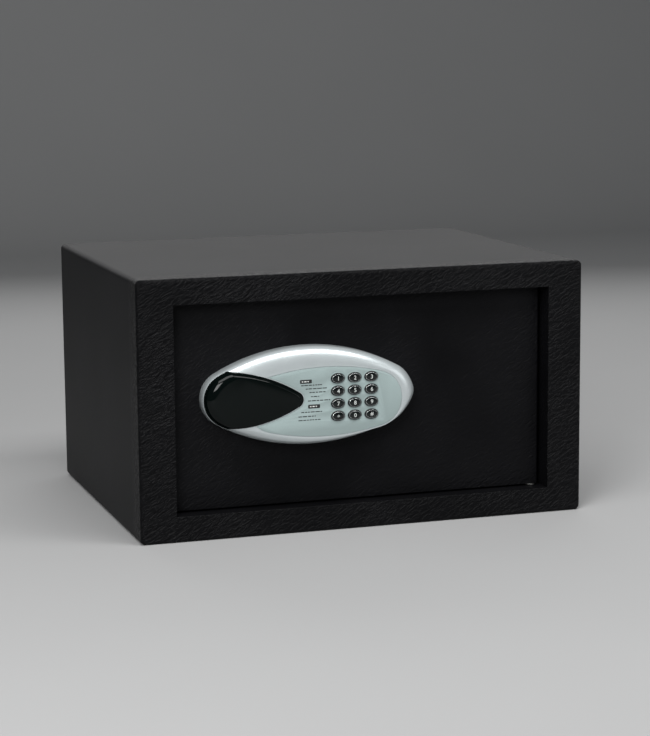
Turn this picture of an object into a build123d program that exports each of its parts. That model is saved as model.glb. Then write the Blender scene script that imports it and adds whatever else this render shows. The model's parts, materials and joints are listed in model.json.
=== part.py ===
from build123d import *

import os
from math import acos, atan2, ceil, cos, degrees, floor, hypot, pi, radians, sin, sqrt, tan

# In room safe. Lengths are millimetres. X runs to the right as the door is faced, Y from the
# front towards the back and Z up. Shapes are drawn with Y measured from the cabinet's front
# face and Z from its underside, and save() then centres them front to back.

# Cabinet
cabinet_width = 430
cabinet_height = 240
cabinet_depth = 330
shell_wall = 2
side_edge_radius = 5  # edges that run front to back
front_edge_radius = 3
back_wall = 2
frame_side = 34  # face of the front frame beside the opening
frame_top = 24  # the same above and below it
opening_edge_radius = 0.8
weld_gap = 0.1
anchor_hole_radius = 5.25
base_anchor_pitch_x = 260
base_anchor_pitch_y = 160
back_anchor_pitch = 260

# Door frame, the steel tube behind the opening
jamb_wall = 2
jamb_depth = 48
stop_thickness = 2
stop_width = 6
stop_gap = 2  # between the closed door's back and the stop
buffer_length = 12
buffer_width = 4
buffer_from_end = 16  # opening's corner to the middle of an upright buffer

# Door
door_recess = 15
door_thickness = 4
door_gap = 2  # above and below
latch_gap = 2.5
hinge_corner_radius = 2
door_edge_radius = 0.6

# Hinge
pin_radius = 2.5
pin_fit = 0.05
pin_head_radius = 4.5
pin_head = 2
axis_behind_door = 3.5
axis_to_door_edge = 5.5
swing_clearance = 0.48
tab_height = 8
leaf_thickness = 3
leaf_height = 34
leaf_width = 16
washer_radius = 5
washer_play = 0.1

# Floor mat
mat_thickness = 2
mat_margin = 4
mat_hole_radius = 12

# Oval panel on the door
panel_width = 200
panel_height = 90
panel_depth = 22
panel_end_radius = 26
panel_side = 11  # straight side between the door and the slope
round_steps = 6  # bands in the rounded slope
face_right = 13  # flat face's centre, right of and below the panel's centre
face_drop = 5.25
face_width = 150
face_height = 66
face_end_radius = 27
panel_wall = 2.5
panel_from_latch = 126  # opening edge to the panel's centre
panel_rise = 7.6  # panel centre above the door's centre
panel_boss_radius = 4
panel_screw_radius = 1.2
panel_screw_head_radius = 3
panel_screw_head = 2
panel_screw_length = 10
panel_screw_hole_gap = 0.6
left_screws_across = 0.62  # screw places, in shares of the panel's half width and half height
left_screws_up = 0.58
right_screws_across = 0.8
right_screws_up = 0.27
thread_gap = 0.05  # between a screw and the hole that it is threaded into

# Display lens, from the panel's left tip
lens_length = 92
lens_proud = 1.2
lens_rim = 2
lens_wall = 2
lens_gap = 0.2
lens_seat = 10  # seat depth behind the panel's face
seat_floor = 2
display_width = 42
display_height = 16
display_depth = 6
display_from_tip = 9

# Keypad
key_pitch_x = 16.1
key_pitch_z = 11.6
key_width = 13
key_height = 9.2
key_proud = 2
key_round = 1.6
key_gap = 0.3
key_flange = 0.8
flange_lap_x = 0.8  # flange past the hole's edge
flange_lap_z = 0.55
key_travel = 1.2
keypad_right = 41  # middle column, right of the panel's centre
keypad_drop = 1.9  # keypad's centre, below the panel's centre
overlay_thickness = 0.5
overlay_gap = 0.25
overlay_inset = 0.8
key_rim_width = 0.6
key_rim_height = 0.4
mat_sheet = 0.8
dome_height = 0.7
board_thickness = 1.6
board_margin = 4.4
board_strip = 12  # bare part of the board, left of the keys

# Service port in the panel's underside
port_radius = 4
port_across = 0.68  # right of the panel's centre, as a share of its half width
port_from_door = 7
port_below = 2.5
port_above = 9
port_bore = 2
port_bore_depth = 7
port_gap = 0.15

# Override lock
lock_radius = 9.5
lock_length = 34
lock_hole_gap = 0.1
lock_from_tip = 68
lock_nut_radius = 13.5
lock_nut_thickness = 4
plug_radius = 6
plug_gap = 0.2  # behind the barrel's front face
keyway_width = 2
keyway_depth = 24
tang = 6  # square end of the plug that the cam sits on
tang_gap = 0.05
cam_play = 0.3
cam_screw_sizes = 6, 1.5, 2.8, 1.6  # length, radius, head radius, head
cam_length = 27
cam_half_width = 4
cam_thickness = 2.5
drive_pin_radius = 2
drive_pin_across = 26  # drive pin from the lock's axis, bolts drawn in
drive_pin_drop = 14

# Locking bolts
bolt_radius = 8
bolt_length = 50
bolt_from_opening = 46  # bolt axis to the opening's upper or lower edge
bolt_travel = 18
bolt_setback = 10  # tip to the opening's edge, bolts drawn in
bolt_behind_door = 13  # bolt axis to the door plate's back
guide_length = 10
guide_side = 26
guide_fit = 0.08
jamb_hole_gap = 2
bolt_screw_radius = 2.5
bolt_screw_length = 12  # inside the bolt
bolt_screw_head_radius = 4.2
bolt_screw_head = 3
bolt_screw_hole_gap = 0.2

# Carriage, rack and pinion
carriage_plate = 3
carriage_web = 2.5
web_behind_door = 21.5
gear_module = 1
pinion_teeth = 14
pressure_angle = radians(20)
rack_addendum = 0.8
backlash = 0.16
gear_right_of_lock = 33
gear_above_lock = 22
gear_face = 6
shaft_radius = 2
shaft_fit = 0.03
gearbox_width = 34
gearbox_height = 32
gearbox_depth = 13
gearbox_ear = 3
gearbox_screw_sizes = 2.5, 1.5, 2.8, 1.8
motor_length = 28
motor_height = 20
motor_depth = 12
switch_width = 6
switch_depth = 10
switch_height = 20
switch_lever = 1.5

# Cover over the mechanism
cover_wall = 1
cover_depth = 34
cover_from_latch = 16
cover_from_hinge = 22
cover_from_end = 12
cover_corner_radius = 3
post_radius = 3.5
post_inset = 10
post_hole_depth = 12
cover_screw_radius = 1.45
cover_screw_head_radius = 2.9
cover_screw_head = 1.8
cover_screw_length = 9
cover_screw_hole_gap = 0.25

# Batteries
cell_radius = 7.25
cell_length = 50.5
cell_pitch = 15.4
cell_count = 4
contact_room = 4.5
tray_wall = 1.6
tray_from_hinge = 99  # hinge axis to the tray's centre
lid_thickness = 1.6
lid_lap = 3
lid_gap = 0.3

# Cables
cable_radius = 1.5
grommet_bore = 4.5
grommet_wall = 1.5

# Places that follow from the sizes above
opening_left = frame_side - cabinet_width / 2
opening_right = -opening_left
opening_low = frame_top
opening_high = cabinet_height - frame_top
middle = cabinet_height / 2
door_back = door_recess + door_thickness
door_low = opening_low + door_gap
door_high = opening_high - door_gap
door_left = opening_left + latch_gap
hinge_y = door_back + axis_behind_door
corner_reach = hypot(axis_to_door_edge - hinge_corner_radius,
                     hinge_y - door_recess - hinge_corner_radius)
hinge_x = opening_right - corner_reach - hinge_corner_radius - swing_clearance
door_right = hinge_x + axis_to_door_edge
stop_front = door_back + stop_gap
panel_x = opening_left + panel_from_latch
panel_z = middle + panel_rise
panel_tip = panel_x - panel_width / 2
panel_front = door_recess - panel_depth
panel_reach = key_proud - panel_front
seat_front = panel_front + lens_seat
seat_back = seat_front + seat_floor
keypad_x = panel_x + keypad_right
keypad_z = panel_z - keypad_drop
flange_front = panel_front + panel_wall + key_gap
dome_front = flange_front + key_flange + key_travel + key_gap
board_front = dome_front + dome_height + mat_sheet
board_back = board_front + board_thickness
lock_x = panel_tip + lock_from_tip
lock_z = panel_z
lock_front = seat_front - 2
lock_back = lock_front + lock_length
bolt_y = door_back + bolt_behind_door
bolt_tip = opening_left + bolt_setback
bolt_end = bolt_tip + bolt_length
bolt_heights = [opening_low + bolt_from_opening, opening_high - bolt_from_opening]
web_front = door_back + web_behind_door
web_back = web_front + carriage_web
gear_x = lock_x + gear_right_of_lock
gear_z = lock_z + gear_above_lock
pitch_radius = gear_module * pinion_teeth / 2
tooth_pitch = pi * gear_module
rack_left = gear_x - 10
rack_right = gear_x + bolt_travel + 10
cover_left = opening_left + cover_from_latch
cover_right = hinge_x - cover_from_hinge
cover_low = opening_low + cover_from_end
cover_high = opening_high - cover_from_end
cover_back = door_back + cover_depth
tray_x = hinge_x - tray_from_hinge
tray_half_x = cell_count * cell_pitch / 2 + tray_wall
tray_half_z = cell_length / 2 + contact_room + tray_wall
tray_back = cover_back - cover_wall
tray_front = tray_back - 2 * cell_radius - tray_wall - 1.5
cell_y = tray_front + tray_wall + cell_radius + 0.2
grommet_x = panel_x + 24
grommet_z = panel_z - 22
front_y = (panel_reach - cabinet_depth) / 2


def block(x0, x1, y0, y1, z0, z1):
    place = Pos((x0 + x1) / 2, (y0 + y1) / 2, (z0 + z1) / 2)
    return place * Box(x1 - x0, y1 - y0, z1 - z0)


def rod_x(y, z, x0, x1, radius):
    return Pos((x0 + x1) / 2, y, z) * Rot(0, 90, 0) * Cylinder(radius, x1 - x0)


def rod_y(x, z, y0, y1, radius):
    return Pos(x, (y0 + y1) / 2, z) * Rot(90, 0, 0) * Cylinder(radius, y1 - y0)


def rod_z(x, y, z0, z1, radius):
    return Pos(x, y, (z0 + z1) / 2) * Cylinder(radius, z1 - z0)


# A flat outline in X and Z about the point x, z, made solid from y0 back to y1
def slab(outline, x, z, y0, y1):
    return extrude(Plane.XZ.offset(-y1) * Pos(x, z) * outline, y1 - y0)


def save(name, *shapes):
    moved = [Pos(0, front_y, 0) * solid for shape in shapes for solid in shape.solids()]
    export_step(moved[0] if len(moved) == 1 else Compound(moved), f"parts/{name}.step")


# ---- cabinet

def rounded_case(inset, long_edge, rim, back):
    half = cabinet_width / 2 - inset
    case = block(-half, half, inset, back, inset, cabinet_height - inset)
    case = fillet(case.edges().filter_by(Axis.Y), long_edge)
    return fillet(case.faces().sort_by(Axis.Y)[0].edges(), rim)


def base_anchor_places():
    for side in (-1, 1):
        for end in (-1, 1):
            yield side * base_anchor_pitch_x / 2, cabinet_depth / 2 + end * base_anchor_pitch_y / 2


def body_shell():
    shell = rounded_case(0, side_edge_radius, front_edge_radius, cabinet_depth)
    shell -= rounded_case(shell_wall, side_edge_radius - shell_wall,
                          front_edge_radius - shell_wall, cabinet_depth + shell_wall)
    shell -= block(opening_left, opening_right, -1, shell_wall + 1, opening_low, opening_high)
    front = shell.faces().filter_by(Axis.Y).sort_by(Axis.Y)[0]
    shell = fillet(front.inner_wires()[0].edges(), opening_edge_radius)
    for x, y in base_anchor_places():
        shell -= rod_z(x, y, -1, shell_wall + 1, anchor_hole_radius)
    return shell


def back_panel():
    half = cabinet_width / 2 - shell_wall - weld_gap
    inset = shell_wall + weld_gap
    panel = block(-half, half, cabinet_depth - back_wall, cabinet_depth,
                  inset, cabinet_height - inset)
    panel = fillet(panel.edges().filter_by(Axis.Y), side_edge_radius - inset)
    for side in (-1, 1):
        panel -= rod_y(side * back_anchor_pitch / 2, middle, cabinet_depth - back_wall - 1,
                       cabinet_depth + 1, anchor_hole_radius)
    return panel


def door_frame():
    frame = block(opening_left - jamb_wall, opening_right + jamb_wall, shell_wall, jamb_depth,
                  opening_low - jamb_wall, opening_high + jamb_wall)
    frame -= block(opening_left, opening_right, 0, jamb_depth + 1, opening_low, opening_high)
    half = bolt_radius + jamb_hole_gap
    for z in bolt_heights:
        frame -= block(opening_left - jamb_wall - 1, opening_left + 1, bolt_y - half,
                       bolt_y + half, z - half, z + half)
    return frame - rod_z(hinge_x, hinge_y, 1, cabinet_height - 1, pin_radius + pin_fit)


def door_stop():
    stop_back = stop_front + stop_thickness
    stop_right = cover_right
    stop = block(opening_left, stop_right, stop_front, stop_back, opening_low, opening_high)
    return stop - block(opening_left + stop_width, stop_right + 1, stop_front - 1, stop_back + 1,
                        opening_low + stop_width, opening_high - stop_width)


def door_buffers():
    back = stop_front
    front = door_back + 0.3
    side = (stop_width - buffer_width) / 2
    upright = opening_left + stop_width - side
    pads = [block(upright - buffer_width, upright, front, back, z - buffer_length / 2,
                  z + buffer_length / 2)
            for z in (opening_low + buffer_from_end, opening_high - buffer_from_end)]
    for low in (opening_low + stop_width - side - buffer_width, opening_high - stop_width + side):
        pads.append(block(-buffer_length / 2, buffer_length / 2, front, back,
                          low, low + buffer_width))
    return pads


def hinge_pin():
    head_top = opening_low - jamb_wall
    pin = rod_z(hinge_x, hinge_y, head_top, door_low + tab_height + 2, pin_radius)
    pin = chamfer(pin.faces().sort_by(Axis.Z)[-1].edges(), 0.5)
    return pin + rod_z(hinge_x, hinge_y, head_top - pin_head, head_top, pin_head_radius)


def hinge_washer():
    washer = rod_z(hinge_x, hinge_y, opening_low + washer_play, door_low - washer_play,
                   washer_radius)
    return washer - rod_z(hinge_x, hinge_y, opening_low, door_low, pin_radius + pin_fit)


def upside_down(shape):
    return Pos(0, 0, middle) * mirror(Pos(0, 0, -middle) * shape, Plane.XY)


def floor_mat():
    half = cabinet_width / 2 - shell_wall - mat_margin
    mat = block(-half, half, jamb_depth + mat_margin, cabinet_depth - back_wall - mat_margin,
                shell_wall, shell_wall + mat_thickness)
    mat = fillet(mat.edges().filter_by(Axis.Z), 6)
    for x, y in base_anchor_places():
        mat -= rod_z(x, y, shell_wall - 1, shell_wall + mat_thickness + 1, mat_hole_radius)
    return mat


# ---- door

def panel_screw_places():
    for side in (-1, 1):
        yield (panel_x - left_screws_across * panel_width / 2,
               panel_z + side * left_screws_up * panel_height / 2, seat_back - 1)
        yield (panel_x + right_screws_across * panel_width / 2,
               panel_z + side * right_screws_up * panel_height / 2, panel_front + 2)


def door_plate():
    plate = block(door_left, door_right, door_recess, door_back, door_low, door_high)
    uprights = plate.edges().filter_by(Axis.Z).sort_by(Axis.Y)[:2].sort_by(Axis.X)
    plate = fillet(uprights[1:], hinge_corner_radius)
    latch_edge = plate.edges().filter_by(Axis.Z).sort_by(Axis.Y).sort_by(Axis.X)[:1]
    plate = fillet(latch_edge, door_edge_radius)
    plate -= rod_y(lock_x, lock_z, door_recess - 1, door_back + 1, lock_radius + lock_hole_gap)
    plate -= rod_y(grommet_x, grommet_z, door_recess - 1, door_back + 1,
                   grommet_bore + grommet_wall)
    for x, z, _ in panel_screw_places():
        plate -= rod_y(x, z, door_recess - 1, door_back + 1,
                       panel_screw_radius + panel_screw_hole_gap)
    return plate


def hinge_bracket():
    leaf_right = hinge_x - pin_radius - 1.5
    leaf = block(leaf_right - leaf_width, leaf_right, door_back, door_back + leaf_thickness,
                 door_low, door_low + leaf_height)
    tab = rod_z(hinge_x, hinge_y, door_low, door_low + tab_height, axis_to_door_edge)
    tab += block(leaf_right - leaf_width, hinge_x, door_back, hinge_y + axis_to_door_edge,
                 door_low, door_low + tab_height)
    tab -= block(hinge_x - 20, hinge_x + 20, door_recess - 5, door_back, 0, cabinet_height)
    return leaf + tab - rod_z(hinge_x, hinge_y, 0, middle, pin_radius + pin_fit)


def bolt_guide(z):
    left = bolt_tip + 11
    guide = block(left, left + guide_length, door_back, bolt_y + guide_side / 2,
                  z - guide_side / 2, z + guide_side / 2)
    return guide - rod_x(bolt_y, z, left - 1, left + guide_length + 1, bolt_radius + guide_fit)


def post_places():
    for x in (cover_left + post_inset, (cover_left + cover_right) / 2, cover_right - post_inset):
        for z in (cover_low + post_inset, cover_high - post_inset):
            yield x, z


def cover_post(x, z):
    post = rod_y(x, z, door_back, cover_back - cover_wall, post_radius)
    return post - rod_y(x, z, cover_back - post_hole_depth, cover_back,
                        cover_screw_radius + thread_gap)


def screw(x, z, seat, length, radius, head_radius, head):
    shank = rod_y(x, z, seat - length, seat, radius)
    cap = rod_y(x, z, seat, seat + head, head_radius)
    cap = fillet(cap.faces().sort_by(Axis.Y)[-1].edges(), head * 0.45)
    recess = block(x - head_radius * 0.55, x + head_radius * 0.55, seat + head * 0.5,
                   seat + head + 1, z - head * 0.14, z + head * 0.14)
    return shank + cap - recess - Pos(x, 0, z) * Rot(0, 90, 0) * Pos(-x, 0, -z) * recess


def mechanism_cover():
    cover = block(cover_left, cover_right, door_back, cover_back, cover_low, cover_high)
    cover = fillet(cover.edges().filter_by(Axis.Y), cover_corner_radius)
    cover = fillet(cover.faces().sort_by(Axis.Y)[-1].edges(), cover_wall * 1.5)
    inside = block(cover_left + cover_wall, cover_right - cover_wall, door_back - 1,
                   cover_back - cover_wall, cover_low + cover_wall, cover_high - cover_wall)
    inside = fillet(inside.edges().filter_by(Axis.Y), cover_corner_radius - cover_wall)
    cover -= fillet(inside.faces().sort_by(Axis.Y)[-1].edges(), cover_wall * 0.5)
    for z in bolt_heights:
        cover -= rod_x(bolt_y, z, cover_left - 1, cover_left + 2, bolt_radius + jamb_hole_gap)
    for x, z in post_places():
        cover -= rod_y(x, z, cover_back - 3, cover_back + 1,
                       cover_screw_radius + cover_screw_hole_gap)
    return cover - block(tray_x - tray_half_x + tray_wall, tray_x + tray_half_x - tray_wall,
                         cover_back - 3, cover_back + 1, middle - tray_half_z + tray_wall,
                         middle + tray_half_z - tray_wall)


def cable_grommet():
    outer = grommet_bore + grommet_wall - 0.1
    ring = rod_y(grommet_x, grommet_z, door_recess - 1.5, door_back + 1.5, outer)
    for front, back in ((door_recess - 1.5, door_recess), (door_back, door_back + 1.5)):
        ring += rod_y(grommet_x, grommet_z, front, back, outer + 1.5)
    return ring - rod_y(grommet_x, grommet_z, door_recess - 3, door_back + 3, grommet_bore)


# ---- oval panel

# Four tangent arcs: a tight one round each end and a long one along the top and underside
def oval(width, height, end_radius, inset):
    end_x = width / 2 - end_radius
    rise = height / 2 - end_radius
    drop = (end_x ** 2 - rise ** 2) / (2 * rise)
    half = degrees(atan2(end_x, drop))
    end = end_radius - inset
    side = height / 2 + drop - inset
    return make_face([CenterArc((end_x, 0), end, half - 90, 180 - 2 * half),
                      CenterArc((0, -drop), side, 90 - half, 2 * half),
                      CenterArc((-end_x, 0), end, 90 + half, 180 - 2 * half),
                      CenterArc((0, drop), side, 270 - half, 2 * half)])


def panel_oval(inset):
    return oval(panel_width, panel_height, panel_end_radius, inset)


def face_oval(inset):
    return Pos(face_right, -face_drop) * oval(face_width, face_height, face_end_radius, inset)


# The panel's form, or one grown or shrunk from it by about the same amount all over: a straight
# side, then a quarter of an oval curve that leads up to the flat face
def panel_form(inset, back):
    shoulder = door_recess - panel_side + inset / 2
    rise = shoulder - panel_front - inset
    sections = []
    for step in range(round_steps + 1):
        turn = step / round_steps * pi / 2
        share = 1 - cos(turn)
        outline = oval(panel_width + share * (face_width - panel_width),
                       panel_height + share * (face_height - panel_height),
                       panel_end_radius + share * (face_end_radius - panel_end_radius),
                       inset * (1 - share / 2))
        level = Plane.XZ.offset(rise * sin(turn) - shoulder)
        sections.append(level * Pos(panel_x + share * face_right, panel_z - share * face_drop)
                        * outline)
    form = loft(sections, ruled=True)
    return form + slab(panel_oval(inset), panel_x, panel_z, shoulder, back)


# The lens's teardrop outline about the panel's centre: two long arcs that meet in a round nose,
# closed at the left by the panel's own oval
def teardrop(grow):
    left = -panel_width / 2
    nose = left + lens_length
    top = ThreePointArc((left + 21, 26.6), (left + 57, 19.4), (nose - 4, 4.6))
    point = ThreePointArc((nose - 4, 4.6), (nose, -2.2), (nose - 5, -9))
    under = ThreePointArc((nose - 5, -9), (left + 55, -21.6), (left + 20, -25.6))
    rest = Polyline((left + 20, -25.6), (left - 20, -25.6), (left - 20, 26.6), (left + 21, 26.6))
    leaf = make_face([top, point, under, rest]) & panel_oval(lens_rim)
    return offset(leaf, grow) if grow else leaf


def display_lens():
    lens = slab(teardrop(0), panel_x, panel_z, panel_front - 20, seat_front)
    lens &= panel_form(-lens_proud, seat_front)
    hollow = slab(teardrop(-lens_wall), panel_x, panel_z, panel_front - 20, seat_front)
    return lens - (hollow & panel_form(lens_wall - lens_proud, seat_front))


def board_post_places():
    left = keypad_x - key_pitch_x - key_width / 2 - board_strip + 3
    right = keypad_x + key_pitch_x + key_width / 2 + board_margin - 2
    for side in (-1, 1):
        yield left, keypad_z + side * 1.75 * key_pitch_z
        yield right, keypad_z + side * key_pitch_z


def keypad_holes(grow):
    outline = Ellipse(key_width / 2 + grow, key_height / 2 + grow)
    return [Pos(x, z) * outline for _, x, z in key_places()]


def overlay_outline(inset):
    return face_oval(overlay_inset + inset) - teardrop(overlay_inset + inset)


def bezel():
    shell = panel_form(0, door_recess) - panel_form(panel_wall, door_recess + 1)
    seat = slab(teardrop(2), panel_x, panel_z, panel_front, seat_back)
    shell += seat & panel_form(0, door_recess)
    for x, z, front in panel_screw_places():
        shell += rod_y(x, z, front, door_recess, panel_boss_radius)
    for x, z in board_post_places():
        shell += rod_y(x, z, panel_front + 1, board_front, 2)
    shell -= slab(teardrop(lens_gap), panel_x, panel_z, panel_front - 20, seat_front)
    shell -= slab(overlay_outline(0), panel_x, panel_z, panel_front - 1,
                  panel_front + overlay_thickness)
    shell -= rod_y(lock_x, lock_z, seat_front - 1, seat_back + 1, lock_radius + 0.5)
    left = panel_tip + display_from_tip + 1
    shell -= block(left, left + display_width - 2, seat_front - 1, seat_back + 1,
                   panel_z - display_height / 2 + 1, panel_z + display_height / 2 - 1)
    for hole in keypad_holes(key_gap):
        shell -= slab(hole, 0, 0, panel_front - 1, panel_front + panel_wall + 1)
    for _, x, z in key_places():
        shell -= slab(flange_outline(key_gap), x, z, panel_front + panel_wall, board_front)
    for x, z, front in panel_screw_places():
        shell -= rod_y(x, z, front + 2, door_recess + 1, panel_screw_radius + thread_gap)
    x, y, low, high = port_place()
    return shell - rod_z(x, y, low - 4, high, port_radius + port_gap)


def keypad_overlay():
    sheet = slab(overlay_outline(overlay_gap), panel_x, panel_z, panel_front,
                 panel_front + overlay_thickness)
    for rim in keypad_holes(key_gap + key_rim_width):
        sheet += slab(rim, 0, 0, panel_front - key_rim_height, panel_front + overlay_thickness)
    for hole in keypad_holes(key_gap):
        sheet -= slab(hole, 0, 0, panel_front - 2, panel_front + 2)
    return sheet


def key_places():
    rows = (("1", "2", "3"), ("4", "5", "6"), ("7", "8", "9"), ("star", "0", "hash"))
    for row, names in enumerate(rows):
        for column, name in enumerate(names):
            yield name, keypad_x + (column - 1) * key_pitch_x, keypad_z + (1.5 - row) * key_pitch_z


def flange_outline(grow):
    across = key_width / 2 + key_gap + flange_lap_x
    return Ellipse(across + grow, key_height / 2 + key_gap + flange_lap_z + grow)


def key(x, z):
    cap = slab(Ellipse(key_width / 2, key_height / 2), x, z, panel_front - key_proud,
               flange_front + key_flange)
    cap = fillet(cap.faces().sort_by(Axis.Y)[0].edges(), key_round)
    return cap + slab(flange_outline(0), x, z, flange_front, flange_front + key_flange)


def keypad_mat():
    left = keypad_x - key_pitch_x - key_width / 2 - 1.5
    right = keypad_x + key_pitch_x + key_width / 2 + 1.5
    half = 2 * key_pitch_z
    mat = block(left, right, board_front - mat_sheet, board_front, keypad_z - half, keypad_z + half)
    dome = Rot(90, 0, 0) * Cone(3.5, 2.2, dome_height)
    for _, x, z in key_places():
        mat += Pos(x, dome_front + dome_height / 2, z) * dome
    for x, z in board_post_places():
        mat -= rod_y(x, z, board_front - 3, board_front + 1, 2.4)
    return mat


def board_edges():
    left = keypad_x - key_pitch_x - key_width / 2 - board_strip
    right = keypad_x + key_pitch_x + key_width / 2 + board_margin
    return left, right, keypad_z - 2 * key_pitch_z - 0.4, keypad_z + 2 * key_pitch_z + 0.4


def main_board():
    left, right, low, high = board_edges()
    board = block(left, right, board_front, board_back, low, high)
    return fillet(board.edges().filter_by(Axis.Y), 3)


def board_parts():
    left, right, low, high = board_edges()
    chip = block(keypad_x - 8, keypad_x + 8, board_back, board_back + 2.4,
                 keypad_z - 8, keypad_z + 2)
    plug = block(grommet_x - 5, grommet_x + 5, board_back, board_back + 4,
                 grommet_z - 3, grommet_z + 3)
    can = rod_y(right - 10, high - 12, board_back, board_back + 8, 4)
    crystal = block(keypad_x + 12, keypad_x + 22, board_back, board_back + 3,
                    keypad_z - 14, keypad_z - 10)
    return [chip, plug, can, crystal]


def buzzer():
    left, _, _, high = board_edges()
    case = rod_y(left + 10, high - 12, board_back, board_back + 7, 6)
    return case - rod_y(left + 10, high - 12, board_back + 6, board_back + 8, 1)


# The port's axis, and its lower and upper ends, where the panel's underside is an ellipse nearly
def port_place():
    underside = panel_z - panel_height / 2 * sqrt(1 - port_across ** 2)
    return (panel_x + port_across * panel_width / 2, door_recess - port_from_door,
            underside - port_below, underside + port_above)


def service_port():
    x, y, low, high = port_place()
    barrel = rod_z(x, y, low, high, port_radius)
    barrel = fillet(barrel.faces().sort_by(Axis.Z)[0].edges(), 0.8)
    return barrel - rod_z(x, y, low - 1, low + port_bore_depth, port_bore)


def display_module():
    left = panel_tip + display_from_tip
    face = block(left, left + display_width, seat_back, seat_back + display_depth,
                 panel_z - display_height / 2, panel_z + display_height / 2)
    return face + block(left - 3, left + display_width + 3, seat_back + display_depth,
                        seat_back + display_depth + board_thickness,
                        panel_z - display_height / 2 - 3, panel_z + display_height / 2 + 3)


# ---- override lock

def override_lock_body():
    body = rod_y(lock_x, lock_z, lock_front, lock_back, lock_radius)
    body = fillet(body.faces().sort_by(Axis.Y)[0].edges(), 0.8)
    body += rod_y(lock_x, lock_z, door_recess - 1.5, door_recess, lock_radius + 2)
    return body - rod_y(lock_x, lock_z, lock_front - 1, lock_back + 1, plug_radius + pin_fit)


def override_lock_nut():
    nut = slab(RegularPolygon(lock_nut_radius, 6), lock_x, lock_z, door_back,
               door_back + lock_nut_thickness)
    return nut - rod_y(lock_x, lock_z, door_back - 1, door_back + 9, lock_radius + lock_hole_gap)


def override_plug():
    half = tang / 2
    plug = rod_y(lock_x, lock_z, lock_front + plug_gap, lock_back + cam_play, plug_radius)
    plug += block(lock_x - half, lock_x + half, lock_back, lock_back + cam_play + cam_thickness,
                  lock_z - half, lock_z + half)
    plug -= block(lock_x - keyway_width / 2, lock_x + keyway_width / 2, lock_front - 1,
                  lock_front + keyway_depth, lock_z - 4, lock_z + 4)
    return plug - rod_y(lock_x, lock_z, lock_back - 8, lock_back + 9, 1.6)


def override_cam():
    front = lock_back + cam_play
    half = tang / 2 + tang_gap
    cam = rod_y(lock_x, lock_z, front, front + cam_thickness, 2 * cam_half_width)
    end = lock_z - cam_length + cam_half_width
    cam += block(lock_x - cam_half_width, lock_x + cam_half_width, front, front + cam_thickness,
                 end, lock_z)
    cam += rod_y(lock_x, end, front, front + cam_thickness, cam_half_width)
    return cam - block(lock_x - half, lock_x + half, front - 1, front + cam_thickness + 1,
                       lock_z - half, lock_z + half)


# ---- bolt work

def locking_bolt(z):
    bolt = rod_x(bolt_y, z, bolt_tip, bolt_end, bolt_radius)
    bolt = chamfer(bolt.faces().sort_by(Axis.X)[0].edges(), 1.5)
    return bolt - rod_x(bolt_y, z, bolt_end - bolt_screw_length - 3, bolt_end + 1,
                        bolt_screw_radius + thread_gap)


def bolt_screw(z):
    seat = bolt_end + carriage_plate
    head = rod_x(bolt_y, z, seat, seat + bolt_screw_head, bolt_screw_head_radius)
    return head + rod_x(bolt_y, z, bolt_end - bolt_screw_length, seat, bolt_screw_radius)


def bolt_carriage():
    low, high = bolt_heights
    end = bolt_end + carriage_plate
    flange = block(bolt_end, end, bolt_y - bolt_radius, web_back,
                   low - bolt_radius - 4, high + bolt_radius + 4)
    web = block(bolt_end, rack_right + 2, web_front, web_back,
                lock_z - drive_pin_drop - 8, gear_z + pitch_radius + 8)
    pin = rod_y(lock_x + drive_pin_across, lock_z - drive_pin_drop, lock_back + 0.6,
                web_front, drive_pin_radius)
    plate = flange + web + pin
    for z in bolt_heights:
        plate -= rod_x(bolt_y, z, bolt_end - 1, end + 1,
                       bolt_screw_radius + bolt_screw_hole_gap)
    return plate


# Straight-flanked rack teeth that point down at the pinion, one of them centred over its axis
def bolt_rack():
    pitch_line = gear_z + pitch_radius
    root = pitch_line + 1.3 * gear_module
    rack = block(rack_left, rack_right, web_front - gear_face, web_front, root - 0.01, root + 4)
    at_tip = tooth_pitch / 4 - backlash / 2 - rack_addendum * tan(pressure_angle)
    at_root = tooth_pitch / 4 - backlash / 2 + (root - pitch_line) * tan(pressure_angle)
    tip = pitch_line - rack_addendum
    tooth = make_face(Polyline((-at_tip, tip), (at_tip, tip), (at_root, root), (-at_root, root),
                               (-at_tip, tip)))
    first = ceil((rack_left + at_root - gear_x) / tooth_pitch)
    last = floor((rack_right - at_root - gear_x) / tooth_pitch)
    for n in range(first, last + 1):
        rack += slab(tooth, gear_x + n * tooth_pitch, 0, web_front - gear_face, web_front)
    return rack


# Half the angle that a pinion tooth fills at a radius, with involute flanks above the base circle
def tooth_half_angle(radius):
    base = pitch_radius * cos(pressure_angle)
    slope = acos(base / max(radius, base))
    at_pitch = (tooth_pitch / 2 - backlash) / 2 / pitch_radius
    return at_pitch + tan(pressure_angle) - pressure_angle - (tan(slope) - slope)


def drive_pinion():
    root = pitch_radius - 1.25 * gear_module
    tip = pitch_radius + gear_module
    radii = [root + (tip - root) * step / 6 for step in range(7)]
    corners = []
    for n in range(pinion_teeth):
        centre = pi / 2 + (n + 0.5) * 2 * pi / pinion_teeth
        rising = [(r, centre - tooth_half_angle(r)) for r in radii]
        falling = [(r, centre + tooth_half_angle(r)) for r in reversed(radii)]
        corners += [(r * cos(a), r * sin(a)) for r, a in rising + falling]
    wheel = make_face(Polyline(*corners, corners[0]))
    front = web_front - gear_face
    pinion = slab(wheel, gear_x, gear_z, front, web_front - 0.5)
    return pinion - rod_y(gear_x, gear_z, front - 1, web_front + 1, shaft_radius + shaft_fit)


def gearbox_ear_places():
    for side in (-1, 1):
        yield gear_x - side * (gearbox_width / 2 - 4), gear_z + side * (gearbox_height / 2 + 3.5)


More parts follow.
